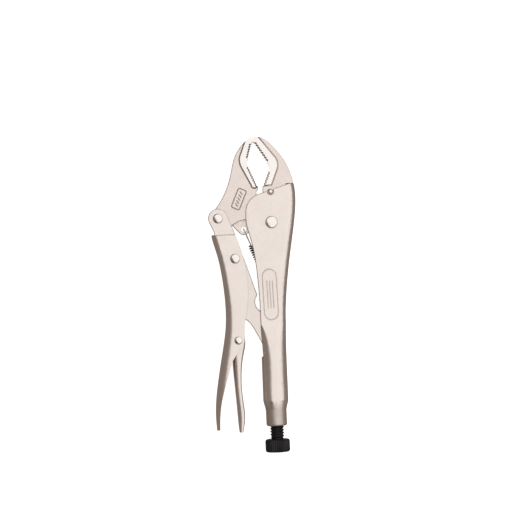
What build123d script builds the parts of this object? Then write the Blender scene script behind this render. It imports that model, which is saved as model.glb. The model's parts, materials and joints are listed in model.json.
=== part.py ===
"""Locking pliers with curved jaws, lying on their side.

The handles and jaws lie in the XY plane, with +Y towards the jaw tips along the adjusting screw's axis, and
+Z up through the thickness. Everything is drawn about the main pivot at mid thickness, then moved so that
the origin is the centre of the foot of the whole tool. All sizes are millimetres and degrees.
"""

import math
import os

from build123d import *

os.makedirs("parts", exist_ok=True)

# Overall sizes.
handle_length = 161.5  # main pivot to the end of the fixed handle's neck
jaw_reach = 68.0  # main pivot to the jaw tips
body_depth = 40.0  # fixed handle at its deepest, open edge to spine
lever_length = 168.0  # lever pivot to the lever handle's tip

# The toggle: pivot positions in the locked pose.
tail_reach = 42.5  # main pivot to lever pivot
tail_angle = 173.6  # direction of the lever pivot from the main pivot
crank_length = 34.5  # lever pivot to link pivot
crank_angle = -69.3  # direction of the link pivot from the lever pivot
link_length = 80.0  # link pivot to the link's rounded end
screw_x = -2.9  # the screw's axis, beside the main pivot
open_end_gap = 2.6  # link end to screw tip, room for the straight-line coupling of the joints

# Sheet and forging thicknesses.
handle_sheet = 2.2
lever_sheet = 2.0
release_sheet = 1.6
jaw_thickness = 10.4
pad_thickness = 13.6  # the ground gripping part of each jaw
lug_thickness = 4.0  # web that holds the spring
lug_eye_radius = 4.6  # around the spring's hole
link_thickness = 10.0
side_clearance = 0.15  # each side, forging to sheet
channel_clearance = 0.3  # each side, between nested channels

# Fixed handle's tube and neck.
tube_half_width = 10.0
tube_half_thickness = 9.2
neck_radius = 8.2
neck_length = 13.0
shoulder_length = 7.0
handle_bend = 6.0  # outer bend radius of the channel
barrel_share = 0.93  # the tube's rounding, as a share of the roundest it can be
neck_share = 0.98
neck_lip = 1.6  # rounding of the neck's end
seam_width = 0.6
edge_break = 0.5
rim_round = 0.7  # pressed and forged edges

# Jaws.
jaw_hub_radius = 11.0  # lower jaw's round boss on the main pivot
hub_clearance = 0.6
tail_radius = 6.8  # lower jaw's end at the lever pivot
tip_gap = 0.3
mouth_foot_gap = 3.4
tooth_depth = 0.95
tooth_slope = (1.0, 1.5)  # the teeth's sloped ends, across the tooth line and through the thickness
pad_slope = 38.0  # how far the pads' outer walls lean from upright
pad_spread = 0.5  # the walls' foot, outside the pads' outline
spring_hole_radius = 2.1
locating_pin_radius = 2.0

# Lever, link and release lever.
ear_radius = 7.7
ear_drop = 13.0  # lever pivot to the joggle under the ears
lever_bend = 5.0  # outer bend radius under the ears
lever_tip_bend = 7.5  # from the release pivot down
lever_reach = 50.0  # sideways, before the open edge is cut to its curve
link_eye_radius = 6.6
link_end_radius = 4.5
release_drop = 97.1  # lever pivot to release pivot, along the handle
release_eye_radius = 4.8
release_bend = 2.4  # outer bend radius of its back
release_curl = 4.6  # and of its free edges, which curl in towards each other
release_slot = 4.0  # width of the gap along its back
slot_depth = 8.0

# Adjusting screw.
thread_radius = 5.55
thread_pitch = 2.31
thread_depth = 1.0
thread_clearance = 0.15
thread_shown = 10.5  # between the neck and the head
head_radius = 9.75
head_height = 10.2
key_size = 5.0  # hexagon socket, across flats
key_depth = 6.0
knurl_count = 36
knurl_depth = 0.45
head_chamfer = 0.9
tip_chamfer = 1.4

# Rivets: shank radius, dome radius. Every dome reaches as far out as the screw's head.
pivot_clearance = 0.06
main_rivet = (4.0, 4.9)
lever_rivet = (3.2, 3.95)
link_rivet = (3.2, 3.95)
release_rivet = (2.4, 3.2)

# Spring.
wire_radius = 0.45
coil_radius = 2.1  # to the middle of the wire
coil_pitch = 1.85
coil_turns = 23
spring_shank = 13.5  # hook to first coil
tab_thickness = 2.0
tab_width = 5.0
tab_length = 7.4
tab_hole_radius = 1.5
window_size = 8.0  # opening left in the spine by the bent tab


def polar(centre, length, angle):
    """The point at a length and an angle in degrees from a centre."""
    a = math.radians(angle)
    return centre[0] + length * math.cos(a), centre[1] + length * math.sin(a)


# Positions worked out from the driving sizes.
main_pivot = (0.0, 0.0)
lever_pivot = polar(main_pivot, tail_reach, tail_angle)
link_pivot = polar(lever_pivot, crank_length, crank_angle)
link_end = (screw_x, link_pivot[1] - math.sqrt(link_length**2 - (screw_x - link_pivot[0]) ** 2))
wide = body_depth / 40  # outlines below are drawn for these four sizes, and stretch with them
high = jaw_reach / 68
deep = -link_end[1] / 103
long = lever_length / 168
release_pivot = (lever_pivot[0] + 12.0, lever_pivot[1] - release_drop)
spring_hole = (-22.3 * wide, -4.4)
spring_anchor = (3.6 * wide, -69.0 * deep)
locating_pin_place = (0.2 * wide, 24.2 * high)

front_edge = 29.8 * high
channel_half_gap = jaw_thickness / 2 + side_clearance
channel_half = channel_half_gap + handle_sheet
ear_half = channel_half_gap + lever_sheet
lever_half_gap = max(link_thickness / 2 + 2 * channel_clearance, channel_half_gap + edge_break)
lever_half = lever_half_gap + lever_sheet
release_half = lever_half_gap - channel_clearance
neck_end = -handle_length
shoulder_top = neck_end + neck_length + shoulder_length
channel_end = link_end[1] + 23.0
mouth_end = link_end[1] - 3.5
screw_tip = link_end[1] - link_end_radius - open_end_gap
head_top = neck_end - thread_shown


def plate(edges, half_thickness):
    """A flat piece with a closed outline, centred on the mid plane."""
    return extrude(make_face(edges), half_thickness, both=True)


def soften(block, radius):
    """Rounds the rims of a flat piece's two outer faces."""
    faces = block.faces().filter_by(Axis.Z).sort_by(Axis.Z)
    return fillet(faces[0].edges() + faces[-1].edges(), radius)


def drill(centre, radius, half_depth=30.0):
    """A cylinder through the thickness, for a hole or a pin."""
    return Pos(centre[0], centre[1], 0) * Cylinder(radius, 2 * half_depth)


def folded_block(spine, half_thickness, bend, reach):
    """A solid block behind a bent sheet: a curved spine with rounded edges, reaching sideways."""
    back = Spline(*spine)
    first, last = back @ 0, back @ 1
    rim = Polyline(last, (last.X + reach, last.Y), (first.X + reach, first.Y), first)
    block = plate(back + rim, half_thickness)
    return fillet(block.edges().filter_by(GeomType.BSPLINE), bend)


def shifted(points, distance):
    """The same points, moved sideways."""
    return [(x + distance, y) for x, y in points]


def rounded_section(y, left, right, half, left_round, right_round, inset=0.0):
    """The outline across a bent sheet at one place along it, from its left to its right."""
    place = Plane(origin=(0, y, 0), x_dir=(1, 0, 0), z_dir=(0, -1, 0))
    left, right, half = left + inset, right - inset, half - inset
    small = 0.3
    right_round = max(right_round - inset, small)
    left_round = max(min(left_round - inset, right - left - right_round - small), small)
    corners = [
        (right, half, right_round, 1, 1),
        (right, -half, right_round, 1, -1),
        (left, -half, left_round, -1, -1),
        (left, half, left_round, -1, 1),
    ]
    bulge = 1 - math.sqrt(0.5)
    arcs = []
    for x, z, r, sx, sz in corners:
        along = (x - sx * r, z)
        down = (x, z - sz * r)
        middle = (x - sx * r * bulge, z - sz * r * bulge)
        ends = (along, down) if sx * sz > 0 else (down, along)
        arcs.append(ThreePointArc(ends[0], middle, ends[1]))
    sides = [Line(a @ 1, b @ 0) for a, b in zip(arcs, arcs[1:] + arcs[:1])]
    loop = [edge for pair in zip(arcs, sides) for edge in pair]
    return place * make_face(loop)


def tube_section(y, left, right, half, left_round, right_round, inset=0.0):
    """The outline across the fixed handle, with its width to each side of the screw's axis."""
    return rounded_section(y, screw_x - left, screw_x + right, half, left_round, right_round, inset)


def handle_spine():
    """Back of the fixed handle, from its front edge to where the tube begins."""
    head = [(18.9 * wide, 31.0 * high), (19.9 * wide, 19.0 * high), (18.8 * wide, 5.0 * high)]
    grip = [(14.2 * wide, -22.6 * deep), (9.9 * wide, -52.0 * deep)]
    return head + grip + [(screw_x + tube_half_width + 0.9, channel_end)]


def handle_side_outline():
    """Side view of the fixed handle's channel, generous at the spine."""
    far = 30.0 * wide
    front = (-8.5 * wide, 22.9 * high)
    corner = ThreePointArc(front, (-16.6 * wide, 18.0 * high), (-20.1 * wide, 8.0 * high))
    edge = Spline(
        corner @ 1,
        (-20.1 * wide, 0.5 * high),
        (-16.8 * wide, -14.0 * deep),
        (-13.4 * wide, -39.0 * deep),
        (screw_x - tube_half_width + 0.8, channel_end),
    )
    foot = (far, channel_end)
    top = Polyline(foot, (far, front_edge), (14.5 * wide, front_edge), (9.7 * wide, 28.5 * high), front)
    return corner + edge + Line(edge @ 1, foot) + top


def handle_core(inset):
    """The fixed handle as a filled body, or its cavity when inset by the sheet."""
    half = channel_half - inset
    spine = shifted(handle_spine(), -inset)
    channel = folded_block(spine, half, handle_bend - inset, -50.0 * wide - inset)
    w, t = tube_half_width, tube_half_thickness
    barrel_round = barrel_share * min(w, t)
    stations = [
        (channel_end, w - 0.8, w + 0.9, channel_half, 0.5, handle_bend),
        (channel_end - 16, w - 0.5, w + 0.3, t - 0.1, 0.8 * barrel_round, 0.9 * barrel_round),
        (0.5 * (channel_end - 16 + shoulder_top), w - 0.25, w + 0.1, t, barrel_round, barrel_round),
        (shoulder_top, w - 0.1, w, t, barrel_round, barrel_round),
    ]
    tube = loft([tube_section(*s, inset=inset) for s in stations])
    return channel, tube


def fixed_handle():
    """U channel that closes into a tube, with a threaded neck, pressed from one sheet."""
    channel, tube = handle_core(0.0)
    hollow, bore = handle_core(handle_sheet)
    shoulder_end = shoulder_top - shoulder_length
    neck_round = neck_share * neck_radius
    barrel_round = barrel_share * min(tube_half_width, tube_half_thickness)
    rim = tube_section(shoulder_top, tube_half_width - 0.1, tube_half_width, tube_half_thickness,
                       barrel_round, barrel_round)
    collar = tube_section(shoulder_end, neck_radius, neck_radius, neck_radius, neck_round, neck_round)
    shoulder = loft([rim, collar], ruled=True)
    neck = extrude(collar, neck_length, dir=(0, -1, 0))
    neck = fillet(neck.faces().sort_by(Axis.Y)[0].edges(), neck_lip)
    channel = channel & plate(handle_side_outline(), 2 * channel_half)
    rims = channel.edges().filter_by_position(Axis.Z, -channel_half, -channel_half)
    rims += channel.edges().filter_by_position(Axis.Z, channel_half, channel_half)
    open_side = [e for e in rims if e.center().X < 0.5 * body_depth and e.center().Y > channel_end + 0.1]
    channel = fillet(open_side, rim_round)
    body = channel + tube + shoulder + neck
    body -= hollow & plate(handle_side_outline(), 2 * channel_half)
    body -= bore
    open_top = channel_end + 0.01
    throat = Pos(screw_x - tube_half_width, (open_top + mouth_end) / 2, 0)
    body -= throat * Box(2 * handle_bend, open_top - mouth_end, 2 * channel_half_gap)
    bore_length = neck_length + shoulder_length + 8.0
    bore_place = Pos(screw_x, neck_end + bore_length / 2 - 4.0, 0)
    body -= bore_place * Rot(90, 0, 0) * Cylinder(thread_radius + thread_clearance, bore_length)
    seam_length = mouth_end - shoulder_end
    seam_place = Pos(screw_x - tube_half_width, mouth_end - seam_length / 2, 0)
    body -= seam_place * Box(2 * handle_sheet, seam_length, seam_width)
    body -= drill(main_pivot, main_rivet[0])
    body -= drill(locating_pin_place, locating_pin_radius + 1.2)
    return body - spring_window() + spring_tab()


def spring_window():
    """Opening left in the spine where the spring's tab is bent in."""
    x = spring_anchor[0] + 5.0
    return Pos(x, spring_anchor[1] - window_size / 2, 0) * Box(window_size, window_size, tab_width)


def spring_tab():
    """Tab bent in from the spine, with a hole for the spring's hook."""
    x, y = spring_anchor
    tab = Pos(x + tab_length / 2 - 2.4, y + tab_thickness / 2, 0) * Box(tab_length, tab_thickness, tab_width)
    return tab - Pos(x, y, 0) * Rot(90, 0, 0) * Cylinder(tab_hole_radius, 6 * tab_thickness)


def teeth(start, end, count, side):
    """Saw teeth to cut out of a jaw along a line, with their ends sloped off at both faces of the pad. The side
    is 1 or -1, to the left or right of the line."""
    run = Vector(end[0] - start[0], end[1] - start[1])
    step = run / count
    across = Vector(-run.Y, run.X).normalized() * tooth_depth * side
    outside = Vector(-run.Y, run.X).normalized() * -side
    base = Vector(*start)
    points = [base + outside]
    for n in range(count):
        points += [base + step * n, base + step * (n + 0.45) + across]
    points += [base + run, base + run + outside]
    saw = make_face(Polyline(*points, close=True))
    into = across.normalized() * tooth_slope[0]
    lean = (into.X, into.Y, tooth_slope[1])
    upper = Pos(0, 0, pad_thickness / 2 - tooth_slope[1]) * saw
    upper = extrude(upper, math.hypot(*tooth_slope), dir=lean)
    return extrude(saw, pad_thickness, both=True) + upper + mirror(upper, Plane.XY)


mouth_top = 64.6  # jaw outlines, drawn for the body_depth and jaw_reach above
upper_mouth = {"top": (-11.0, 63.4), "turn": (-1.4, 47.7), "back": (0.0, 43.4), "low": (-0.8, 40.2)}
lower_mouth = {"top": (-13.2, 62.6), "turn": (-16.5, 51.0), "back": (-17.1, 47.8), "low": (-16.3, 44.8)}
foot_y = 28.2


def jaw_points(*points):
    """Stretches outline points with the jaws' size."""
    return [(x * wide, y * high) for x, y in points]


def sloped(rim):
    """The room for a jaw's pad: upright inside the jaw, with walls that lean in above its faces."""
    low = jaw_thickness / 2 - rim_round
    base = offset(make_face(rim), pad_spread, kind=Kind.INTERSECTION)
    top = Pos(0, 0, low) * extrude(base, pad_thickness / 2 - low, taper=pad_slope)
    return extrude(base, low, both=True) + top + mirror(top, Plane.XY)


def fixed_jaw():
    """Upper jaw: a thick toothed pad on a thinner tang that sits in the fixed handle."""
    m = upper_mouth
    tip_x = -12.3 + tip_gap / 2
    seat = front_edge + side_clearance
    brow = jaw_points((tip_x, 67.9), (-8.6, 68.2), (-3.8, 66.6), (4.6, 59.2), (12.4, 48.4), (17.0, 37.6))
    outer = Spline(*brow, (18.8 * wide, seat))
    tang_x = handle_spine()[2][0] - handle_bend
    hub = jaw_hub_radius + hub_clearance
    foot_x = -12.3 + 2.9 + mouth_foot_gap
    hub_low = (math.sqrt(hub**2 - 3.0**2), 3.0)
    hub_high = (foot_x * wide, math.sqrt(hub**2 - (foot_x * wide) ** 2))
    hub_arc = ThreePointArc(hub_low, polar(main_pivot, hub, 70), hub_high)
    tang = Polyline(outer @ 1, (tang_x, seat), (tang_x, 3.0), hub_low)
    throat = Polyline(hub_high, *jaw_points((foot_x, 24.4), (foot_x + 0.3, foot_y)))
    low_face = Polyline(throat @ 1, *jaw_points(m["low"]))
    back = ThreePointArc(*jaw_points(m["low"], m["back"], m["turn"]))
    high_face = Polyline(*jaw_points(m["turn"], m["top"], (tip_x, mouth_top), (tip_x, 67.9)))
    outline = outer + tang + hub_arc + throat + low_face + back + high_face
    pad_turn = ThreePointArc(*jaw_points((4.6, 53.3), (7.7, 46.8), (6.8, 40.9)))
    pad_rim = Polyline(*jaw_points((6.8, 40.9), (2.0, 28.9), (-6.4, 28.1), (-30, 28.1), (-30, 75), (-6.6, 75),
                                   (-6.6, 68.2), (4.6, 53.3)))
    pad = plate(outline, pad_thickness / 2) & sloped(pad_turn + pad_rim)
    jaw = soften(plate(outline, jaw_thickness / 2), rim_round) + pad
    jaw -= teeth(*jaw_points(m["turn"], m["top"]), 8, -1)
    jaw -= teeth(*jaw_points((foot_x + 0.6, foot_y + 0.7), m["low"]), 5, -1)
    return jaw - drill(locating_pin_place, locating_pin_radius)


def lower_jaw():
    """Moving jaw: toothed pad, boss on the main pivot, tail to the lever and a thin lug for the spring."""
    m = lower_mouth
    tip_x = -12.3 - tip_gap / 2
    foot_x = -12.3 + 2.9
    tail = (lever_pivot[0], lever_pivot[1])
    tail_top = polar(tail, tail_radius, 118)
    tail_foot = polar(tail, tail_radius, -68)
    outer = Spline(*jaw_points((tip_x, 67.9), (-16.2, 66.2), (-22.0, 60.8), (-26.6, 53.6), (-29.5, 44.6),
                               (-31.9, 35.1), (-36.2, 24.4)), tail_top)
    tail_arc = ThreePointArc(tail_top, polar(tail, tail_radius, 200), tail_foot)
    hub_low = polar(main_pivot, jaw_hub_radius, 200)
    under = Spline(tail_foot, (-31.4 * wide, -1.2), (-25.5 * wide, 1.9), (-20.5 * wide, 2.7), hub_low)
    hub_high = polar(main_pivot, jaw_hub_radius, 146)
    hub_arc = ThreePointArc(hub_low, polar(main_pivot, jaw_hub_radius, -10), hub_high)
    throat = Polyline(hub_high, *jaw_points((-10.8, 14.0), (-11.0, 25.0), (foot_x, 27.0), (foot_x, foot_y)))
    low_face = Polyline(*jaw_points((foot_x, foot_y), m["low"]))
    back = ThreePointArc(*jaw_points(m["low"], m["back"], m["turn"]))
    high_face = Polyline(*jaw_points(m["turn"], m["top"], (tip_x, mouth_top), (tip_x, 67.9)))
    outline = outer + tail_arc + under + hub_arc + throat + low_face + back + high_face
    pad_turn = ThreePointArc(*jaw_points((-22.6, 55.4), (-23.9, 50.0), (-22.4, 43.9)))
    pad_foot = ThreePointArc(*jaw_points((-15.3, 29.6), (-13.6, 27.1), (foot_x - 0.6, 27.9)))
    pad_rim = Polyline(*jaw_points((foot_x - 0.6, 27.9), (10, 28.5), (10, 75), (-18.6, 75), (-19.0, 64.6),
                                   (-22.6, 55.4)))
    pad_side = Line(*jaw_points((-22.4, 43.9), (-15.3, 29.6)))
    pad = plate(outline, pad_thickness / 2) & sloped(pad_turn + pad_side + pad_foot + pad_rim)
    jaw = soften(plate(outline, jaw_thickness / 2), rim_round) + pad + spring_lug()
    jaw -= teeth(*jaw_points(m["top"], m["turn"]), 6, -1)
    jaw -= teeth(*jaw_points(m["low"], (foot_x - 0.4, foot_y + 0.9)), 8, -1)
    jaw -= drill(main_pivot, main_rivet[0] + pivot_clearance)
    jaw -= drill(lever_pivot, lever_rivet[0] + pivot_clearance)
    return jaw


def spring_lug():
    """Thin web under the lower jaw, with the spring's hole."""
    eye = lug_eye_radius
    x, y = spring_hole
    left = (-31.0 * wide, -1.6)
    right = polar(main_pivot, jaw_hub_radius - 1.0, 195)
    bottom_left, bottom_right = polar(spring_hole, eye, 230), polar(spring_hole, eye, -50)
    rim = ThreePointArc(bottom_left, (x, y - eye), bottom_right)
    sides = Polyline(bottom_right, right, (-15.0 * wide, 4.0), (-29.0 * wide, 3.0), left, bottom_left)
    return soften(plate(rim + sides, lug_thickness / 2), rim_round) - drill(spring_hole, spring_hole_radius)


def lever_points(*points):
    """Outline points from the lever pivot, stretched with the lever's length below it."""
    px, py = lever_pivot
    return [(px + x, py + y * long) for x, y in points]


def lever_spine():
    """Back of the lever handle, from the joggle under the ears to the tip."""
    upper = lever_points((-5.9, -ear_drop), (-2.4, -27.5), (1.2, -48.0), (2.8, -70.0), (2.0, -88.0))
    return upper + lever_points((-1.4, -107.0), (-5.3, -127.0), (-8.2, -147.0), (-8.6, -160.0), (-8.2, -168.0))


def lever_core(inset):
    """The lever as a filled body, rounder towards its tip, or its cavity when inset by the sheet."""
    spine = lever_spine()
    top = spine[0][1]
    sections = []
    for x, y in spine:
        share = min((top - y) / release_drop, 1) ** 2
        bend = lever_bend + (lever_tip_bend - lever_bend) * share
        sections.append(rounded_section(y, x, x + lever_reach, lever_half, bend, lever_bend, inset))
    return loft(sections)


def lever_handle():
    """Moving handle: an open channel with two ears that clasp the lower jaw's tail."""
    shell = lever_core(0.0) - lever_core(lever_sheet)
    px, py = lever_pivot
    eye = release_eye_radius
    eye_side, eye_low = polar(release_pivot, eye, 0), polar(release_pivot, eye, -32)
    belly = lever_points((12.4, -11.5), (18.2, -29.5), (21.2, -49.5), (21.2, -61.5), (19.2, -75.0))
    inner = Spline(*belly, eye_side, tangents=[(0.33, -1), (0, -1)])
    eye_arc = ThreePointArc(eye_side, polar(release_pivot, eye, -16), eye_low)
    heel = lever_points((6.2, -114.0))[0]
    taper = lever_points((2.9, -124.6), (-1.5, -138.5), (-4.6, -152.0), (-5.6, -163.0), (-5.7, -168.0))
    tail = Spline(heel, *taper)
    back = Polyline(tail @ 1, (px - 25, (tail @ 1).Y), (px - 25, py - ear_drop), lever_points((12.0, -11.5))[0],
                    inner @ 0)
    shell &= plate(inner + eye_arc + Line(eye_low, heel) + tail + back, 2 * lever_half)
    shell &= lever_plan()
    crease = shell.edges().filter_by_position(Axis.Y, py - ear_drop - 0.01, py - ear_drop + 0.01)
    outer = [e for e in crease if abs(e.center().Z) > ear_half - 1 or e.center().X < px - 5]
    shell = chamfer(outer, lever_half - ear_half)
    ears = soften(plate(ear_outline(), ear_half), rim_round) - plate(ear_outline(), channel_half_gap)
    body = shell + ears
    for centre, rivet in ((lever_pivot, lever_rivet), (link_pivot, link_rivet), (release_pivot, release_rivet)):
        body -= drill(centre, rivet[0])
    return body


def ear_outline():
    """Side view of the lever's ears."""
    px, py = lever_pivot
    left, right = polar(lever_pivot, ear_radius, 205), polar(lever_pivot, ear_radius, 19)
    crown = ThreePointArc(right, polar(lever_pivot, ear_radius, 110), left)
    waist = Polyline(left, (px - 3.7, py - 10.4), (px - 3.0, py - 15.0), (px + 13.6, py - 15.0),
                     (px + 12.4, py - 11.5), right)
    return crown + waist


def lever_plan():
    """The lever seen from behind its spine: parallel sides and a round tip."""
    x, y = lever_spine()[-1]
    tip_round = lever_half - 1.0
    middle = lever_pivot[1]
    blank = Box(80.0, middle - y, 2 * lever_half)
    blank = fillet(blank.edges().filter_by(Axis.X).sort_by(Axis.Y)[:2], tip_round)
    return Pos(x + 20, (middle + y) / 2, 0) * blank


def release_points(*points):
    """Outline points from the release pivot, stretched with the lever's length below it."""
    px, py = release_pivot
    return [(px + x, py + y * (long if y < 0 else 1)) for x, y in points]


def release_core(inset, *stations):
    """The release lever as a filled body through (place along it, left, right), or its cavity when inset."""
    px, py = release_pivot
    sections = []
    for y, left, right in stations:
        curl = min(release_curl, 0.66 * (right - left))
        bend = min(release_bend, 0.27 * (right - left))
        place = py + y * (long if y < 0 else 1)
        sections.append(rounded_section(place, px + left, px + right, release_half, curl, bend, inset))
    return loft(sections)


def release_lever():
    """Small channel inside the lever handle, bent outwards at its tip, with a nose at the top."""
    run = [(1.0, -5.0, 5.0), (-7.5, -5.6, 4.4), (-18.5, -5.6, 2.1), (-32.0, -4.9, 0.9), (-44.0, -4.2, 1.2),
           (-57.0, -3.5, 2.4), (-66.0, -3.0, 2.0)]
    body = release_core(0.0, *run, (-73.0, -2.4, 0.6)) - release_core(release_sheet, *run)
    x, y = release_pivot
    length = (y + 1.0) - release_points((0, -66.0))[0][1]
    slot = Box(slot_depth, length, release_slot)
    body -= Pos(x - slot_depth / 2 - release_sheet, y + 1.0 - length / 2, 0) * slot
    eye = Polyline(*release_points((5.0, 1.0), (4.3, 8.0), (1.8, 13.6), (0.2, 13.6)))
    brow = Spline(eye @ 1, *release_points((-3.4, 7.5), (-5.0, 1.0)))
    body += soften(plate(eye + brow + Line(brow @ 1, eye @ 0), release_half), rim_round)
    tip = body.faces().sort_by(Axis.Y)[0]
    body = fillet(tip.edges(), 0.5 * rim_round)
    return body - drill(release_pivot, release_rivet[0] + pivot_clearance)


def toggle_link():
    """Thick link from the lever to the screw's tip, with a stop and a hollow on its upper edge."""
    ex, ey = link_end
    lx, ly = link_pivot
    top = polar(link_pivot, link_eye_radius, 8)
    side = polar(link_pivot, link_eye_radius, 185)
    eye = ThreePointArc(top, polar(link_pivot, link_eye_radius, 100), side)
    upper = Spline(top, (lx + 9.4, ly - 8.0), (lx + 13.4, ly - 21.0), (lx + 16.2, ly - 29.6))
    hollow = ThreePointArc((lx + 15.2, ly - 31.2), (lx + 14.1, ly - 35.4), (lx + 17.6, ly - 42.0))
    end_right, end_left = polar(link_end, link_end_radius, 15), polar(link_end, link_end_radius, 195)
    shank = Spline(hollow @ 1, (ex - 4.6, ey + 26.0), (ex + 2.4, ey + 12.0), end_right)
    nose = ThreePointArc(end_right, polar(link_end, link_end_radius, -75), end_left)
    belly = [(ex - 9.9, ey + 9.6), (ex - 15.4, ey + 20.3), (ex - 19.2, ey + 25.4), (ex - 24.0, ey + 27.2)]
    lower = Spline(end_left, *belly)
    heel = Spline(lower @ 1, (lx - 3.4, ly - 44.5), (lx - 5.2, ly - 26.0), side)
    stop = Line(upper @ 1, hollow @ 0)
    outline = eye + upper + stop + hollow + shank + nose + lower + heel
    body = soften(plate(outline, link_thickness / 2), rim_round)
    return body - drill(link_pivot, link_rivet[0] + pivot_clearance)


def adjusting_screw():
    """Threaded screw with a knurled head and a hexagon socket. The thread is cut as rings."""
    shank_end = head_top + 1.0
    rings = int((screw_tip - 2.0 - shank_end) / thread_pitch)
    r, root = thread_radius, thread_radius - thread_depth
    profile = [(0, head_top), (root, head_top), (root, shank_end)]
    for n in range(rings):
        y = shank_end + n * thread_pitch
        profile += [(root, y + 0.12 * thread_pitch), (r, y + 0.44 * thread_pitch), (r, y + 0.56 * thread_pitch),
                    (root, y + 0.88 * thread_pitch)]
    profile += [(root, screw_tip - tip_chamfer), (root - tip_chamfer, screw_tip), (0, screw_tip)]
    shank = Pos(screw_x, 0, 0) * revolve(make_face(Polyline(*profile, close=True)), Axis.Y)
    head = Rot(90, 0, 0) * Cylinder(head_radius, head_height)
    head = chamfer(head.edges().filter_by(GeomType.CIRCLE), head_chamfer)
    groove = Rot(90, 0, 0) * extrude(RegularPolygon(1.2, 4), head_height, both=True)
    flutes = [
        Rot(0, 360 * (n + 0.5) / knurl_count, 0) * Pos(head_radius + 1.2 - knurl_depth, 0, 0) * groove
        for n in range(knurl_count)
    ]
    head -= flutes
    key = RegularPolygon(key_size / 2, 6, major_radius=False)
    socket = Pos(0, -head_height / 2, 0) * Rot(90, 0, 0) * extrude(key, key_depth, both=True)
    head = Pos(screw_x, head_top - head_height / 2, 0) * (head - socket)
    return shank + head


def rivet(centre, sizes, half_grip, dome_top=head_radius):
    """A rivet with a domed head at each end of its grip."""
    shank, dome = sizes
    height = dome_top - half_grip
    ball = (dome**2 + height**2) / (2 * height)
    a = math.asin(dome / ball) / 2
    crown = (ball * math.sin(a), dome_top - ball + ball * math.cos(a))
    section = Polyline((0, dome_top), (0, 0), (shank, 0), (shank, half_grip), (dome, half_grip))
    section += ThreePointArc((dome, half_grip), crown, (0, dome_top))
    half = revolve(Rot(90, 0, 0) * make_face(section), Axis.Z)
    return Pos(centre[0], centre[1], 0) * (half + mirror(half, Plane.XY))


def spring():
    """Extension spring with a hook at each end, drawn upright along its own axis, then turned into place."""
    run = Vector(spring_anchor[0] - spring_hole[0], spring_anchor[1] - spring_hole[1])
    height = coil_turns * coil_pitch
    side = lug_thickness / 2 + wire_radius + 0.4
    coil = Pos(0, 0, spring_shank) * Helix(coil_pitch, height, coil_radius)
    first, last = coil @ 0, coil @ 1
    near = (0, 0, spring_shank - 3.0)
    far = (0, 0, last.Z + 3.0)
    lead_in = Spline(near, first, tangents=[(0, 0, 1), coil % 0])
    lead_out = Spline(last, far, tangents=[coil % 1, (0, 0, 1)])
    top_hook = FilletPolyline((0, -side - 0.6, 0), (0, side, 0), (0, side, 5.2), (0, 0, 8.4), near, radius=0.9)
    turn = tab_thickness + 2.2
    foot = run.length + turn
    left = -3.3
    low_hook = FilletPolyline(far, (0, 0, foot), (left, 0, foot), (left, 0, run.length - 1.5), radius=1.2)
    path = Wire(top_hook.edges() + [lead_in, coil, lead_out] + low_hook.edges())
    ring = Plane(origin=path @ 0, z_dir=path % 0) * Circle(wire_radius)
    wire = sweep(ring, path)
    axis = Plane(origin=(*spring_hole, 0), x_dir=(-run.Y, run.X, 0), z_dir=run)
    return axis * wire


nodes = {
    "fixed_handle": fixed_handle(),
    "fixed_jaw": fixed_jaw(),
    "lower_jaw": lower_jaw(),
    "lever_handle": lever_handle(),
    "toggle_link": toggle_link(),
    "release_lever": release_lever(),
    "adjusting_screw": adjusting_screw(),
    "return_spring": spring(),
    "main_rivet": rivet(main_pivot, main_rivet, channel_half),
    "lever_rivet": rivet(lever_pivot, lever_rivet, ear_half),
    "link_rivet": rivet(link_pivot, link_rivet, lever_half),
    "release_rivet": rivet(release_pivot, release_rivet, lever_half),
    "jaw_locating_pin": rivet(locating_pin_place, (locating_pin_radius, 2.6), jaw_thickness / 2, channel_half),
}

box = Compound([solid for node in nodes.values() for solid in node.solids()]).bounding_box()
to_frame = Pos(-box.center().X, -box.center().Y, -box.min.Z)
for name, node in nodes.items():
    export_step(to_frame * node, f"parts/{name}.step")
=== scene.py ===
"""Looks of the locking pliers: materials, detailed pieces, floor, light and camera, round the frame."""
import json
import math

import bmesh
import bpy
from mathutils import Matrix, Vector


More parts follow.
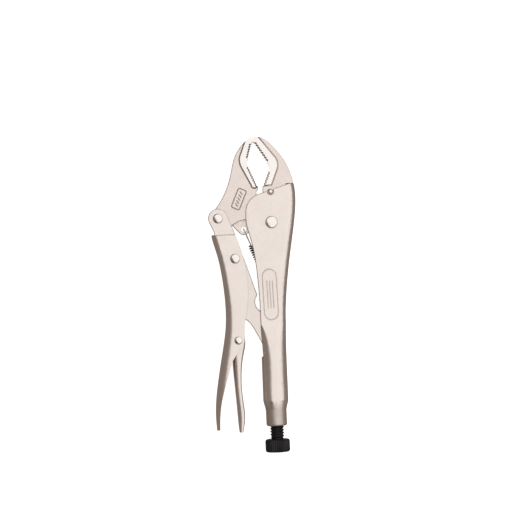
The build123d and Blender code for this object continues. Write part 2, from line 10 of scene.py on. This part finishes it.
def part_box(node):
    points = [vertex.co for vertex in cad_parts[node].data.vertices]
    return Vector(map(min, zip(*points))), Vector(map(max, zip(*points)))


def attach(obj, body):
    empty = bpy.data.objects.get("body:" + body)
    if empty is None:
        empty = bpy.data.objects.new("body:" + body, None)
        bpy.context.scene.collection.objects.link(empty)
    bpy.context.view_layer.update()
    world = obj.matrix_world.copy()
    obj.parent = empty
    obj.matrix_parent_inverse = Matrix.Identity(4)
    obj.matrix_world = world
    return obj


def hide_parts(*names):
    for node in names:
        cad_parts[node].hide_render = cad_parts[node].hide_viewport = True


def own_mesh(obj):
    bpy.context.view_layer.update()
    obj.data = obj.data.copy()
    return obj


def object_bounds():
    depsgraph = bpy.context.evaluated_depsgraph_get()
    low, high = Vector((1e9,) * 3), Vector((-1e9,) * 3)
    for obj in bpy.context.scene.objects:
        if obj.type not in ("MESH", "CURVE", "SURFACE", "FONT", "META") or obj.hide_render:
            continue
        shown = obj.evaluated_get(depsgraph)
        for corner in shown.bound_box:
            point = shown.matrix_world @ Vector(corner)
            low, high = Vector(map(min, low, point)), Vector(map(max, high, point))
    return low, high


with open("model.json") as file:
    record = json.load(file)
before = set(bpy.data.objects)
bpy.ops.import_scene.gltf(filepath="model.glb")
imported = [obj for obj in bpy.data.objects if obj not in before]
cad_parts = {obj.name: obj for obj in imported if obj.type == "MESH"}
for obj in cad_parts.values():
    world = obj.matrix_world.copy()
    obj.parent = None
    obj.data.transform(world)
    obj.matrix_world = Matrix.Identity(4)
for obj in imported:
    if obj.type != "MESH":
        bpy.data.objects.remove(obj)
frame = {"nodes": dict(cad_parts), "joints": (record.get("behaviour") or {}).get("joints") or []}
CAD_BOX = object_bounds()
NODES = frame["nodes"]
JOINTS = {j["name"]: j for j in frame["joints"]}
MM = 0.001
MIDDLE = (CAD_BOX[0] + CAD_BOX[1]) / 2
MAIN_PIVOT = Vector(JOINTS["jaw_pivot"]["pos_m"])
JAW_HALF = 5.2 * MM  # half the jaws' thickness
PAD_FACE = (6.55 * MM, 6.7 * MM)  # from the middle, where the ground pads' bright face begins
SMOOTH_ANGLE = 28  # edges sharper than this stay crisp on the CAD nodes


# ---------------------------------------------------------------- materials

def new_material(name):
    """An empty node material and its Principled shader."""
    mat = bpy.data.materials.new(name)
    mat.use_nodes = True
    tree = mat.node_tree
    tree.nodes.clear()
    out = tree.nodes.new("ShaderNodeOutputMaterial")
    shader = tree.nodes.new("ShaderNodeBsdfPrincipled")
    tree.links.new(shader.outputs["BSDF"], out.inputs["Surface"])
    return mat, tree, shader


def noise_node(tree, scale, detail=4.0, rough=0.55, stretch=(1, 1, 1), seed=0.0):
    """Noise in the piece's own coordinates. Scale is cycles per metre."""
    coord = tree.nodes.new("ShaderNodeTexCoord")
    mapping = tree.nodes.new("ShaderNodeMapping")
    mapping.inputs["Scale"].default_value = stretch
    mapping.inputs["Location"].default_value = (seed, seed * 0.7, seed * 1.3)
    tex = tree.nodes.new("ShaderNodeTexNoise")
    tex.inputs["Scale"].default_value = scale
    tex.inputs["Detail"].default_value = detail
    tex.inputs["Roughness"].default_value = rough
    tree.links.new(coord.outputs["Object"], mapping.inputs["Vector"])
    tree.links.new(mapping.outputs["Vector"], tex.inputs["Vector"])
    return tex.outputs["Fac"]


def ramp(tree, value, stops):
    """A colour ramp on a value. Stops are (position, colour)."""
    node = tree.nodes.new("ShaderNodeValToRGB")
    elements = node.color_ramp.elements
    while len(elements) < len(stops):
        elements.new(0.5)
    for e, (place, colour) in zip(elements, stops):
        e.position = place
        e.color = (*colour, 1) if len(colour) == 3 else colour
    tree.links.new(value, node.inputs["Fac"])
    return node.outputs["Color"]


def spread(tree, value, low, high, from_low=0.3, from_high=0.7):
    """Maps noise to a range."""
    node = tree.nodes.new("ShaderNodeMapRange")
    node.inputs["From Min"].default_value = from_low
    node.inputs["From Max"].default_value = from_high
    node.inputs["To Min"].default_value = low
    node.inputs["To Max"].default_value = high
    tree.links.new(value, node.inputs["Value"])
    return node.outputs["Result"]


def bump(tree, shader, height, strength, distance, under=None):
    """Adds a bump to the shader's normal, on top of another."""
    node = tree.nodes.new("ShaderNodeBump")
    node.inputs["Strength"].default_value = strength
    node.inputs["Distance"].default_value = distance
    tree.links.new(height, node.inputs["Height"])
    if under is not None:
        tree.links.new(under, node.inputs["Normal"])
    tree.links.new(node.outputs["Normal"], shader.inputs["Normal"])
    return node.outputs["Normal"]


def math_node(tree, operation, first, second=None):
    """A sum on values, each a socket or a number."""
    node = tree.nodes.new("ShaderNodeMath")
    node.operation = operation
    for socket, value in zip(node.inputs, (first, second)):
        if isinstance(value, (int, float)):
            socket.default_value = value
        elif value is not None:
            tree.links.new(value, socket)
    return node.outputs["Value"]


def metal(name, light, dark, rough, grain=0.15, grain_scale=2600, stretch=(1, 1, 1), blotch=60):
    """Plated or bare metal: colour and roughness vary softly, with a fine grain on the surface."""
    mat, tree, shader = new_material(name)
    shader.inputs["Metallic"].default_value = 1.0
    soft = noise_node(tree, blotch, detail=5.0, seed=3.0)
    tree.links.new(ramp(tree, soft, [(0.32, dark), (0.68, light)]), shader.inputs["Base Color"])
    fine = noise_node(tree, blotch * 9, detail=6.0, stretch=stretch, seed=7.0)
    tree.links.new(spread(tree, fine, rough[0], rough[1]), shader.inputs["Roughness"])
    height = noise_node(tree, grain_scale, detail=3.0, stretch=stretch, seed=11.0)
    under = bump(tree, shader, height, grain, 0.00005)
    waves = noise_node(tree, 180, detail=2.0, seed=5.0)
    bump(tree, shader, waves, 0.06, 0.0004, under)
    return mat


def handle_nickel(name, neck_from, neck_to):
    """Satin nickel on the bent sheet, turning duller and rougher round the swaged neck at its end."""
    mat = metal(name, (0.835, 0.78, 0.742), (0.80, 0.742, 0.702), (0.27, 0.37), grain=0.07)
    tree = mat.node_tree
    shader = next(n for n in tree.nodes if n.type == "BSDF_PRINCIPLED")
    apart = tree.nodes.new("ShaderNodeSeparateXYZ")
    coord = tree.nodes.new("ShaderNodeTexCoord")
    tree.links.new(coord.outputs["Object"], apart.inputs["Vector"])
    neck = spread(tree, apart.outputs["Y"], 1.0, 0.0, from_low=neck_to, from_high=neck_from)
    colour = shader.inputs["Base Color"].links[0].from_socket
    mix = tree.nodes.new("ShaderNodeMix")
    mix.data_type = "RGBA"
    tree.links.new(neck, mix.inputs["Factor"])
    tree.links.new(colour, mix.inputs["A"])
    mix.inputs["B"].default_value = (0.66, 0.60, 0.56, 1)
    tree.links.new(mix.outputs["Result"], shader.inputs["Base Color"])
    smooth = shader.inputs["Roughness"].links[0].from_socket
    rougher = math_node(tree, "ADD", smooth, math_node(tree, "MULTIPLY", neck, 0.14))
    tree.links.new(rougher, shader.inputs["Roughness"])
    return mat


def black_oxide():
    """Blackened steel, a little greyer in random patches."""
    mat, tree, shader = new_material("black_oxide")
    shader.inputs["Metallic"].default_value = 0.55
    soft = noise_node(tree, 150, detail=6.0, seed=2.0)
    tree.links.new(ramp(tree, soft, [(0.3, (0.010, 0.010, 0.012)), (0.75, (0.035, 0.034, 0.036))]),
                   shader.inputs["Base Color"])
    tree.links.new(spread(tree, noise_node(tree, 900, seed=4.0), 0.34, 0.5), shader.inputs["Roughness"])
    bump(tree, shader, noise_node(tree, 2400, seed=6.0), 0.15, 0.00005)
    return mat


def jaw_steel():
    """Forged jaw steel, satin on its body, with the thicker toothed pads ground bright."""
    mat, tree, shader = new_material("jaw_nickel")
    shader.inputs["Metallic"].default_value = 1.0
    coord = tree.nodes.new("ShaderNodeTexCoord")
    apart = tree.nodes.new("ShaderNodeSeparateXYZ")
    tree.links.new(coord.outputs["Object"], apart.inputs["Vector"])
    off_middle = math_node(tree, "ABSOLUTE", math_node(tree, "SUBTRACT", apart.outputs["Z"], MIDDLE.z))
    ground = spread(tree, off_middle, 0.0, 1.0, from_low=PAD_FACE[0], from_high=PAD_FACE[1])
    soft = noise_node(tree, 70, detail=5.0, seed=3.0)
    body = ramp(tree, soft, [(0.32, (0.775, 0.715, 0.675)), (0.68, (0.82, 0.762, 0.722))])
    bright = ramp(tree, soft, [(0.32, (0.89, 0.865, 0.845)), (0.68, (0.92, 0.90, 0.88))])
    mix = tree.nodes.new("ShaderNodeMix")
    mix.data_type = "RGBA"
    tree.links.new(ground, mix.inputs["Factor"])
    tree.links.new(body, mix.inputs["A"])
    tree.links.new(bright, mix.inputs["B"])
    tree.links.new(mix.outputs["Result"], shader.inputs["Base Color"])
    fine = noise_node(tree, 620, detail=6.0, seed=7.0)
    satin = spread(tree, fine, 0.30, 0.42)
    drop = math_node(tree, "MULTIPLY", ground, 0.08)
    tree.links.new(math_node(tree, "SUBTRACT", satin, drop), shader.inputs["Roughness"])
    under = bump(tree, shader, noise_node(tree, 1500, detail=3.0, seed=11.0), 0.12, 0.00005)
    bump(tree, shader, noise_node(tree, 160, detail=2.0, seed=5.0), 0.06, 0.0004, under)
    return mat


NICKEL = metal("satin_nickel", (0.835, 0.78, 0.742), (0.80, 0.742, 0.702), (0.27, 0.37), grain=0.07)
NECK_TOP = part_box("fixed_handle")[0].y + 20 * MM
HANDLE = handle_nickel("handle_nickel", NECK_TOP, NECK_TOP - 7 * MM)
# Painted shade: a dark brownish nickel for the lower jaw's raised frame and hatch, standing in for the shade
# of a sunk badge.
ORNAMENT_PAINTED_SHADE = metal("ornament_painted_shade", (0.52, 0.45, 0.40), (0.42, 0.36, 0.32), (0.4, 0.5), grain=0.2)
LINK = metal("link_nickel", (0.84, 0.785, 0.747), (0.80, 0.742, 0.702), (0.3, 0.42), grain=0.15)
JAW = jaw_steel()
RIVET = metal("rivet_polished", (0.90, 0.875, 0.855), (0.86, 0.835, 0.81), (0.13, 0.19), grain=0.05)
SPRING_WIRE = metal("spring_wire", (0.86, 0.84, 0.82), (0.78, 0.76, 0.74), (0.4, 0.5), grain=0.05)
# Painted shade: a near-black colour for the spring's coil, though it is the same wire as the light hooks.
SPRING_COIL_SHADE = metal("spring_coil_painted_shade", (0.16, 0.15, 0.145), (0.10, 0.095, 0.09), (0.3, 0.4), grain=0.05)
BLACK = black_oxide()

FINISH = {
    "fixed_handle": HANDLE, "fixed_jaw": JAW, "lower_jaw": JAW, "lever_handle": NICKEL, "toggle_link": LINK,
    "release_lever": NICKEL,
}


def finish_cad_node(name, material):
    """Gives a CAD node its material, and shades its flats flat and its rounded edges round."""
    node = NODES[name]
    node.data.materials.clear()
    node.data.materials.append(material)
    node.data.shade_smooth()
    weld = node.modifiers.new("weld", "WELD")
    weld.merge_threshold = 0.002 * MM
    split = node.modifiers.new("split", "EDGE_SPLIT")
    split.split_angle = math.radians(SMOOTH_ANGLE)
    even = node.modifiers.new("even", "WEIGHTED_NORMAL")
    even.mode = "FACE_AREA"
    even.weight = 100
    even.keep_sharp = True


for name, material in FINISH.items():
    finish_cad_node(name, material)


# ---------------------------------------------------------------- pieces in mesh code

def piece(name, verts, faces, body, slot, materials, sharp=32, face_material=None):
    """A smooth-shaded mesh piece, in metres, that rides on a body."""
    mesh = bpy.data.meshes.new(name)
    mesh.from_pydata([tuple(v) for v in verts], [], faces)
    work = bmesh.new()
    work.from_mesh(mesh)
    bmesh.ops.recalc_face_normals(work, faces=work.faces)
    work.to_mesh(mesh)
    work.free()
    for material in materials:
        mesh.materials.append(material)
    if face_material:
        mesh.polygons.foreach_set("material_index", face_material)
    mesh.shade_smooth()
    mesh.set_sharp_from_angle(angle=math.radians(sharp))
    obj = bpy.data.objects.new(name, mesh)
    bpy.context.scene.collection.objects.link(obj)
    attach(obj, body)
    return obj


def turned(rows, count, matrix):
    """A turned shape's vertices and faces. A row is (height, radius), and a radius may be a function of
    angle. The first and last rows are closed at the axis."""
    verts, faces = [], []
    for height, radius in rows:
        for k in range(count):
            angle = 2 * math.pi * k / count
            r = radius(angle) if callable(radius) else radius
            verts.append(matrix @ Vector((r * math.cos(angle), r * math.sin(angle), height)))
    for n in range(len(rows) - 1):
        for k in range(count):
            k2 = (k + 1) % count
            faces.append((n * count + k, n * count + k2, (n + 1) * count + k2, (n + 1) * count + k))
    for row, first in ((0, True), (len(rows) - 1, False)):
        verts.append(matrix @ Vector((0, 0, rows[row][0])))
        centre = len(verts) - 1
        for k in range(count):
            k2 = (k + 1) % count
            ring = (row * count + k2, row * count + k) if first else (row * count + k, row * count + k2)
            faces.append((centre, *ring))
    return verts, faces


def joined(*shells):
    """Several shells' vertices and faces as one."""
    verts, faces = [], []
    for shell_verts, shell_faces in shells:
        base = len(verts)
        verts += shell_verts
        faces += [tuple(base + i for i in face) for face in shell_faces]
    return verts, faces


def wire(points, radius, sides=10, closed=False):
    """A round wire along points, closed at its ends or into a loop."""
    count = len(points)
    verts, faces = [], []
    normal = None
    for i, p in enumerate(points):
        before = points[i - 1] if i or closed else p
        after = points[(i + 1) % count] if i < count - 1 or closed else p
        along = (after - before).normalized()
        if normal is None:
            normal = along.orthogonal().normalized()
        normal = (normal - along * normal.dot(along)).normalized()
        across = along.cross(normal)
        for k in range(sides):
            a = 2 * math.pi * k / sides
            verts.append(p + (normal * math.cos(a) + across * math.sin(a)) * radius)
    for i in range(count if closed else count - 1):
        j = (i + 1) % count
        for k in range(sides):
            k2 = (k + 1) % sides
            faces.append((i * sides + k, i * sides + k2, j * sides + k2, j * sides + k))
    if not closed:
        faces.append(tuple(reversed(range(sides))))
        faces.append(tuple(range((count - 1) * sides, count * sides)))
    return verts, faces


def rounded_corner(radius, start, end, steps=6):
    """Offsets (sideways, along) of a quarter-round profile."""
    turns = [start + (end - start) * n / steps for n in range(steps + 1)]
    return [(radius * math.cos(math.radians(t)), radius * math.sin(math.radians(t))) for t in turns]


# The adjusting screw: a true helical thread and a knurled head with a hexagon socket.
THREAD_RADIUS, THREAD_DEPTH, THREAD_PITCH = 5.55 * MM, 1.0 * MM, 2.31 * MM
HEAD_LENGTH, HEAD_ROUND = 10.2 * MM, 1.7 * MM
KNURLS, KNURL_DEPTH = 36, 0.42 * MM
KEY_HALF, KEY_DEPTH, KEY_CHAMFER = 2.5 * MM, 6.0 * MM, 0.45 * MM


def thread_radius(height, shown_from, shown_to):
    """The radius round the shank at one height, for a 60 degree thread that fades out at both ends."""
    fade = min(1, max(0, (height - shown_from) / THREAD_PITCH), max(0, (shown_to - height) / THREAD_PITCH))

    def radius(angle):
        t = (height / THREAD_PITCH - angle / (2 * math.pi)) % 1.0
        tooth = min(1.0, max(0.0, (0.5 - abs(t - 0.5) - 0.06) / 0.38))
        return THREAD_RADIUS - THREAD_DEPTH * (1 - tooth * fade)
    return radius


def knurled(radius, depth):
    """A radius with pointed ridges round it."""
    return lambda angle: radius - depth * (1 - abs(math.cos(0.5 * KNURLS * angle))) ** 0.8


def hexagon(half, angle):
    """The distance to a hexagon's side."""
    turn = (angle + math.pi / 6) % (math.pi / 3) - math.pi / 6
    return half / math.cos(turn)


def make_screw():
    """The adjusting screw, upright about its own axis with its head at the foot, then laid along the tool."""
    low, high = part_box("adjusting_screw")
    head_radius = (high.x - low.x) / 2
    length = high.y - low.y
    place = Matrix.Translation(((low.x + high.x) / 2, low.y, (low.z + high.z) / 2)) @ Matrix.Rotation(
        -math.pi / 2, 4, "X")
    root = THREAD_RADIUS - THREAD_DEPTH
    per_turn = 12
    rows = [(HEAD_LENGTH - 0.5 * MM, root)]
    turns = int((length - HEAD_LENGTH - 1.6 * MM) / THREAD_PITCH * per_turn)
    for n in range(turns):
        h = HEAD_LENGTH + n * THREAD_PITCH / per_turn
        rows.append((h, thread_radius(h, HEAD_LENGTH, length - 2.2 * MM)))
    rows += [(length - 1.4 * MM, root), (length - 0.5 * MM, root - 0.9 * MM), (length, root - 1.6 * MM)]
    shank = turned(rows, 72, place)
    hole = [(KEY_DEPTH + 1.2 * MM, 0.05 * KEY_HALF), (KEY_DEPTH, lambda a: hexagon(KEY_HALF, a)),
            (KEY_CHAMFER, lambda a: hexagon(KEY_HALF, a)), (0, lambda a: hexagon(KEY_HALF, a) + KEY_CHAMFER)]
    body = head_radius - HEAD_ROUND
    bottom = [(HEAD_ROUND - up, knurled(body + out, KNURL_DEPTH * out / HEAD_ROUND))
              for out, up in rounded_corner(HEAD_ROUND, 90, 0)]
    top = [(HEAD_LENGTH - HEAD_ROUND + up, knurled(body + out, KNURL_DEPTH * out / HEAD_ROUND))
           for out, up in rounded_corner(HEAD_ROUND, 0, 90)]
    dish = [(HEAD_LENGTH, root + 1.5 * MM), (HEAD_LENGTH - 0.3 * MM, root + 0.9 * MM)]
    head = turned(hole + [(0, 0.62 * head_radius)] + bottom + top + dish, 8 * KNURLS, place)
    screw = piece("knurled_screw", *joined(shank, head), "screw", "black_oxide", [BLACK], sharp=40)
    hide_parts("adjusting_screw")


def rivet_rows(radius, top, seat, shank, edge_tilt, rim_round):
    """Rows of a domed rivet from its lower crown to its upper one, about its own middle."""
    tilt = math.radians(edge_tilt)
    inner = radius - rim_round * (1 - math.sin(tilt))
    ball = inner / math.sin(tilt)
    crown_foot = top - ball * (1 - math.cos(tilt))
    half = []
    for n in range(1, 13):
        a = tilt * n / 12
        half.append((top - ball * (1 - math.cos(a)), ball * math.sin(a)))
    for n in range(1, 7):
        a = tilt + (math.pi / 2 - tilt) * n / 6
        drop = rim_round * (math.cos(tilt) - math.cos(a))
        half.append((crown_foot - drop, inner + rim_round * (math.sin(a) - math.sin(tilt))))
    half += [(seat, half[-1][1]), (seat, shank)]
    return [(-h, r) for h, r in half] + [(h, r) for h, r in reversed(half)]


RIVET_SIDES, SHANK_SHARE = 64, 0.8


def make_rivet(node, body, seat, edge_tilt, rim_round):
    """A domed rivet in a CAD rivet's place, on a shank that is a share of its head."""
    low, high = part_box(node)
    middle = (low + high) / 2
    radius = (high.x - low.x) / 2
    rows = rivet_rows(radius, (high.z - low.z) / 2, seat, SHANK_SHARE * radius, edge_tilt, rim_round)
    shell = turned(rows, RIVET_SIDES, Matrix.Translation(middle))
    head = piece(node + "_domed", *shell, body, "rivet_steel", [RIVET], 50)
    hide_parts(node)


# The return spring, in its own axes: up along the spring from the lower jaw's hole, x across the tool.
WIRE_RADIUS, COIL_RADIUS, COIL_PITCH, COIL_TURNS = 0.45 * MM, 2.1 * MM, 1.85 * MM, 23
SPRING_HOLE = MAIN_PIVOT + Vector((-22.3, -4.4, 0)) * MM
SPRING_ANCHOR = MAIN_PIVOT + Vector((3.6, -69.0, 0)) * MM
SPRING_SHANK = 13.5 * MM


def bend_corners(corners, radius, steps=6):
    """A line through corners, each rounded."""
    points = [corners[0]]
    for before, corner, after in zip(corners, corners[1:], corners[2:]):
        into, out = (corner - before).normalized(), (after - corner).normalized()
        turn = into.angle(out)
        back = min(radius * math.tan(turn / 2), 0.45 * min((corner - before).length, (after - corner).length))
        start, end = corner - into * back, corner + out * back
        for n in range(steps + 1):
            t = n / steps
            points.append(start * (1 - t) ** 2 + corner * 2 * t * (1 - t) + end * t**2)
    return points + [corners[-1]]


def coil_line(start, per_turn=28, ease=0.75):
    """The coil, drawn out of the straight wire at each end by growing its radius."""
    points = []
    steps = COIL_TURNS * per_turn
    for n in range(steps + 1):
        turn = n / per_turn
        grow = min(1, turn / ease, (COIL_TURNS - turn) / ease)
        r = COIL_RADIUS * grow * grow * (3 - 2 * grow)
        a = 2 * math.pi * turn
        points.append(Vector((r * math.cos(a), r * math.sin(a), start + turn * COIL_PITCH)))
    return points


def make_spring():
    """The return spring: a hook in the lower jaw, a coil, and a hook on the handle's tab. The coil's turns
    carry a painted shade colour.
    """
    run = SPRING_ANCHOR - SPRING_HOLE
    side, turn, left = 2.85 * MM, 4.2 * MM, -3.3 * MM
    coil_end = SPRING_SHANK + COIL_TURNS * COIL_PITCH
    hook = [(0, -side - 0.6 * MM, 0), (0, side, 0), (0, side, 5.2 * MM), (0, 0, 8.4 * MM)]
    hook.append((0, 0, SPRING_SHANK))
    foot = [(0, 0, coil_end), (0, 0, run.length + turn), (left, 0, run.length + turn)]
    foot.append((left, 0, run.length - 1.5 * MM))
    top = bend_corners([Vector(p) for p in hook], 1.1 * MM)[:-1]
    coil = coil_line(SPRING_SHANK)
    low = bend_corners([Vector(p) for p in foot], 1.4 * MM)[1:]
    along = run.normalized()
    across = Vector((-along.y, along.x, 0))
    axes = Matrix((across, along.cross(across), along)).transposed().to_4x4()
    place = Matrix.Translation(SPRING_HOLE) @ axes
    points = [place @ p for p in top + coil + low]
    verts, faces = wire(points, WIRE_RADIUS)
    rings = len(points)
    # The coil's faces take the painted shade material; the hooks keep the wire's colour.
    dark = range(len(top), len(top) + len(coil))
    colour = [1 if n // 10 in dark else 0 for n in range((rings - 1) * 10)] + [0, 0]
    spring = piece("coil_spring", verts, faces, "fixed_body", "spring_steel", [SPRING_WIRE, SPRING_COIL_SHADE],
                   face_material=colour)
    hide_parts("return_spring")
    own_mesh(spring)


# Plain raised ornaments: a ring with bars on the grip, and a frame with a hatch on the lower jaw.
def slot_outline(length, width, steps=14):
    """An oblong with round ends, along x."""
    r, half = width / 2, (length - width) / 2
    points = []
    for side, start in ((1, -90), (-1, 90)):
        for n in range(steps + 1):
            a = math.radians(start + 180 * n / steps)
            points.append(Vector((side * half + r * math.cos(a), r * math.sin(a), 0)))
    return points


def box_outline(length, width, corner, steps=5):
    """A rectangle with rounded corners, along x."""
    points = []
    for n in range(4):
        sx, sy = ((1, 1), (-1, 1), (-1, -1), (1, -1))[n]
        for k in range(steps + 1):
            a = math.radians(90 * n + 90 * k / steps)
            points.append(Vector((sx * (length / 2 - corner) + corner * math.cos(a),
                                  sy * (width / 2 - corner) + corner * math.sin(a), 0)))
    return points


def make_ornament(name, body, slot, material, lines, radius, centre, angle):
    """Raised round lines on a flat face. Lines are (points, closed) about the ornament's centre."""
    place = Matrix.Translation(centre) @ Matrix.Rotation(math.radians(angle), 4, "Z")
    shells = [wire([place @ p for p in points], radius, sides=12, closed=closed) for points, closed in lines]
    piece(name, *joined(*shells), body, slot, [material], sharp=60)


def bar(x0, y0, x1, y1):
    """A straight open line for an ornament."""
    return [Vector((x0, y0, 0)), Vector((x1, y1, 0))], False


def make_ornaments():
    """The plain ring and bars on the grip, and the plain hatched frame on the lower jaw."""
    grip_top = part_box("jaw_locating_pin")[1].z
    jaw_top = MIDDLE.z + JAW_HALF
    lines = [(slot_outline(40 * MM, 11 * MM), True)]
    lines += [bar(-11 * MM, y * MM, 11 * MM, y * MM) for y in (-2.2, 0, 2.2)]
    centre = Vector((MAIN_PIVOT.x - 3.3 * MM, MAIN_PIVOT.y - 57 * MM, grip_top - 0.16 * MM))
    make_ornament("grip_ornament", "fixed_body", "nickel_sheet", NICKEL, lines, 0.5 * MM, centre, 91)
    lines = [(box_outline(16.2 * MM, 6.8 * MM, 1.4 * MM), True)]
    lines += [bar((x - 0.9) * MM, -1.3 * MM, (x + 0.9) * MM, 1.3 * MM) for x in (-5, -2.5, 0, 2.5, 5)]
    centre = Vector((MAIN_PIVOT.x - 24.9 * MM, MAIN_PIVOT.y + 19.5 * MM, jaw_top - 0.1 * MM))
    # The frame and hatch take the painted shade colour.
    make_ornament("jaw_ornament", "moving_jaw", "jaw_steel", ORNAMENT_PAINTED_SHADE, lines, 0.5 * MM, centre, 66)


LEVER_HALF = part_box("lever_handle")[1].z - MIDDLE.z
EAR_HALF = LEVER_HALF - 0.5 * MM
GRIP_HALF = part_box("jaw_locating_pin")[1].z - MIDDLE.z
make_screw()
make_rivet("main_rivet", "fixed_body", GRIP_HALF, edge_tilt=16, rim_round=1.1 * MM)
make_rivet("lever_rivet", "lever", EAR_HALF, edge_tilt=21, rim_round=1.0 * MM)
make_rivet("link_rivet", "lever", LEVER_HALF, edge_tilt=21, rim_round=1.0 * MM)
make_rivet("release_rivet", "lever", LEVER_HALF, edge_tilt=24, rim_round=0.8 * MM)
make_rivet("jaw_locating_pin", "fixed_body", JAW_HALF, edge_tilt=75, rim_round=0.2 * MM)
make_spring()
make_ornaments()


# ---------------------------------------------------------------- stage

def make_floor():
    """A plain pale floor, evenly lit from within so that no hard shadow falls on it."""
    bpy.ops.mesh.primitive_plane_add(size=6.0, location=(0, 0, CAD_BOX[0].z - 0.0002))
    floor = bpy.context.object
    floor.name = "floor"
    mat, _, shader = new_material("pale_floor")
    shader.inputs["Base Color"].default_value = (0.9, 0.9, 0.9, 1)
    shader.inputs["Roughness"].default_value = 0.9
    shader.inputs["Specular IOR Level"].default_value = 0.0
    shader.inputs["Emission Color"].default_value = (1, 1, 1, 1)
    shader.inputs["Emission Strength"].default_value = 0.85
    floor.data.materials.append(mat)
    floor.visible_glossy = False


def area_light(name, place, target, size, watts, colour=(1, 1, 1)):
    """A soft rectangular light that faces a point."""
    data = bpy.data.lights.new(name, "AREA")
    data.shape = "RECTANGLE"
    data.size, data.size_y = size
    data.energy = watts
    data.color = colour
    light = bpy.data.objects.new(name, data)
    bpy.context.scene.collection.objects.link(light)
    light.location = place
    light.rotation_euler = (Vector(target) - Vector(place)).to_track_quat("-Z", "Y").to_euler()
    return light


def make_flag():
    """A black card beside the camera. Only reflections show it, as a dark spot on each rivet."""
    toward, away, size = Vector((-0.5, -0.5, 0.707)), 1.1, 0.46
    bpy.ops.mesh.primitive_plane_add(size=size, location=MIDDLE + toward * away)
    flag = bpy.context.object
    flag.name = "flag"
    flag.rotation_euler = toward.to_track_quat("Z", "Y").to_euler()
    mat, _, shader = new_material("black_card")
    shader.inputs["Base Color"].default_value = (0.01, 0.01, 0.01, 1)
    shader.inputs["Specular IOR Level"].default_value = 0.0
    flag.data.materials.append(mat)
    flag.visible_camera = False
    flag.visible_shadow = False
    flag.visible_diffuse = False


def make_world(colour, strength):
    """A dim, even world, seen in what faces away from the softbox."""
    world = bpy.data.worlds.new("studio")
    world.use_nodes = True
    back = world.node_tree.nodes["Background"]
    back.inputs["Color"].default_value = (*colour, 1)
    back.inputs["Strength"].default_value = strength
    bpy.context.scene.world = world


def make_camera():
    """Looks straight down, turned a little so that the tool leans as it should in the frame."""
    lens, sensor, view_width = 150.0, 36.0, 0.4208
    offset, turn = Vector((0.00888, 0.02337, 0)), -2.576
    data = bpy.data.cameras.new("camera")
    data.lens, data.sensor_width = lens, sensor
    data.clip_end = 20.0
    camera = bpy.data.objects.new("camera", data)
    bpy.context.scene.collection.objects.link(camera)
    distance = view_width * lens / sensor
    camera.location = MIDDLE + offset + Vector((0, 0, distance))
    camera.rotation_euler = (0, 0, math.radians(turn))
    bpy.context.scene.camera = camera


make_floor()
make_flag()
make_world((1.0, 0.83, 0.72), 0.25)
area_light("softbox", (0.73, 0.42, 1.81), (0, 0, 0), (4.0, 4.0), 42)
make_camera()
bpy.context.scene.view_settings.view_transform = "Standard"
